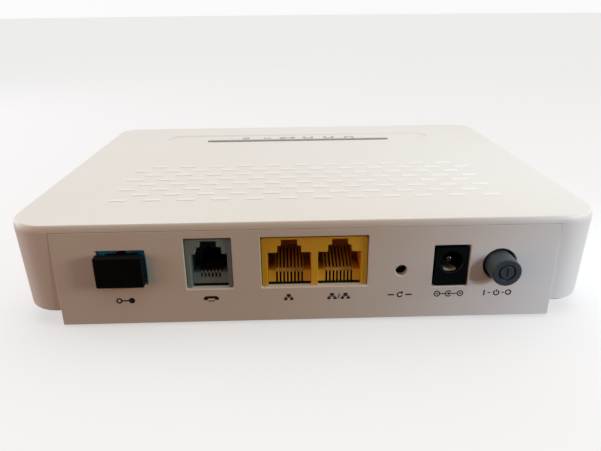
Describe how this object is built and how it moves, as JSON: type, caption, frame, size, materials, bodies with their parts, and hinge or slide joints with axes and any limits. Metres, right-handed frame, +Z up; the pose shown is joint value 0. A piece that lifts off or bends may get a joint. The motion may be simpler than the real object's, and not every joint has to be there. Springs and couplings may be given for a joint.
{
  "type": "optical network terminal",
  "caption": "Desktop fibre network terminal with fibre, telephone, network and power ports on one side, a pinhole reset and a latching power button.",
  "frame": {"origin": "middle of the whole footprint, power button included, on the plane that the feet stand on", "axes": "+X to the right when facing the ports, +Y from the ports to the far edge, +Z up"},
  "size_m": [0.1636, 0.132, 0.0308],
  "materials": {
    "shell_white": "fine satin moulded ABS, warm white",
    "panel_white": "fine satin moulded ABS, warm white",
    "light_guide_grey": "smoked translucent acrylic",
    "foot_rubber": "soft matt rubber",
    "screw_steel": "zinc plated",
    "board_green": "solder-masked glass-epoxy board",
    "jack_yellow": "moulded nylon, satin",
    "jack_grey": "moulded nylon, satin",
    "fibre_blue": "moulded plastic, satin",
    "contact_gold": "gold flashed",
    "plated_steel": "nickel plated",
    "cap_black": "soft moulded elastomer",
    "inlet_black": "moulded nylon, satin",
    "button_grey": "moulded ABS, satin",
    "switch_white": "moulded nylon",
    "chip_black": "moulded epoxy",
    "heatsink_black": "black anodised",
    "ceramic_white": "fine smooth ceramic",
    "capacitor_blue": "shrink sleeve"
  },
  "bodies": {
    "case": {"top_cover": "shell_white", "bottom_case": "shell_white", "rear_panel": "panel_white", "light_guide": "light_guide_grey", "foot_1": "foot_rubber", "foot_2": "foot_rubber", "foot_3": "foot_rubber", "foot_4": "foot_rubber", "case_screw_1": "screw_steel", "case_screw_2": "screw_steel", "case_screw_3": "screw_steel", "case_screw_4": "screw_steel", "main_board": "board_green", "board_screw_1": "screw_steel", "board_screw_2": "screw_steel", "board_screw_3": "screw_steel", "network_jack": "jack_yellow", "network_contacts_1": "contact_gold", "network_contacts_2": "contact_gold", "phone_jack": "jack_grey", "phone_contacts": "contact_gold", "fibre_receptacle": "fibre_blue", "ferrule_sleeve": "ceramic_white", "optical_module": "plated_steel", "inlet_body": "inlet_black", "inlet_pin": "plated_steel", "inlet_spring": "contact_gold", "power_switch": "switch_white", "reset_switch": "inlet_black", "main_processor": "chip_black", "heatsink": "heatsink_black", "memory_chip": "chip_black", "flash_chip": "chip_black", "optical_driver_chip": "chip_black", "shield_can": "plated_steel", "phone_line_chip": "chip_black", "network_transformer_1": "chip_black", "network_transformer_2": "chip_black", "capacitor_1": "capacitor_blue", "capacitor_2": "capacitor_blue", "capacitor_3": "capacitor_blue", "inductor_1": "chip_black", "inductor_2": "chip_black", "crystal": "plated_steel", "lamp_1": "ceramic_white", "lamp_2": "ceramic_white", "lamp_3": "ceramic_white", "lamp_4": "ceramic_white", "lamp_5": "ceramic_white", "lamp_6": "ceramic_white"},
    "power_key": {"power_button": "button_grey", "switch_stem": "switch_white"},
    "reset_key": {"reset_plunger": "switch_white"},
    "fibre_cap": {"dust_cap": "cap_black"}
  },
  "joints": [
    {"name": "power_press", "type": "slide", "parent": "case", "child": "power_key", "axis": [0, 1, 0], "range_m": [0, 0.0022], "stiffness_N_per_m": 600, "springref_m": -0.001},
    {"name": "reset_press", "type": "slide", "parent": "case", "child": "reset_key", "axis": [0, 1, 0], "range_m": [0, 0.0003], "stiffness_N_per_m": 4000, "springref_m": -0.0001},
    {"name": "cap_pull", "type": "slide", "parent": "case", "child": "fibre_cap", "axis": [0, -1, 0], "range_m": [0, 0.02]}
  ]
}
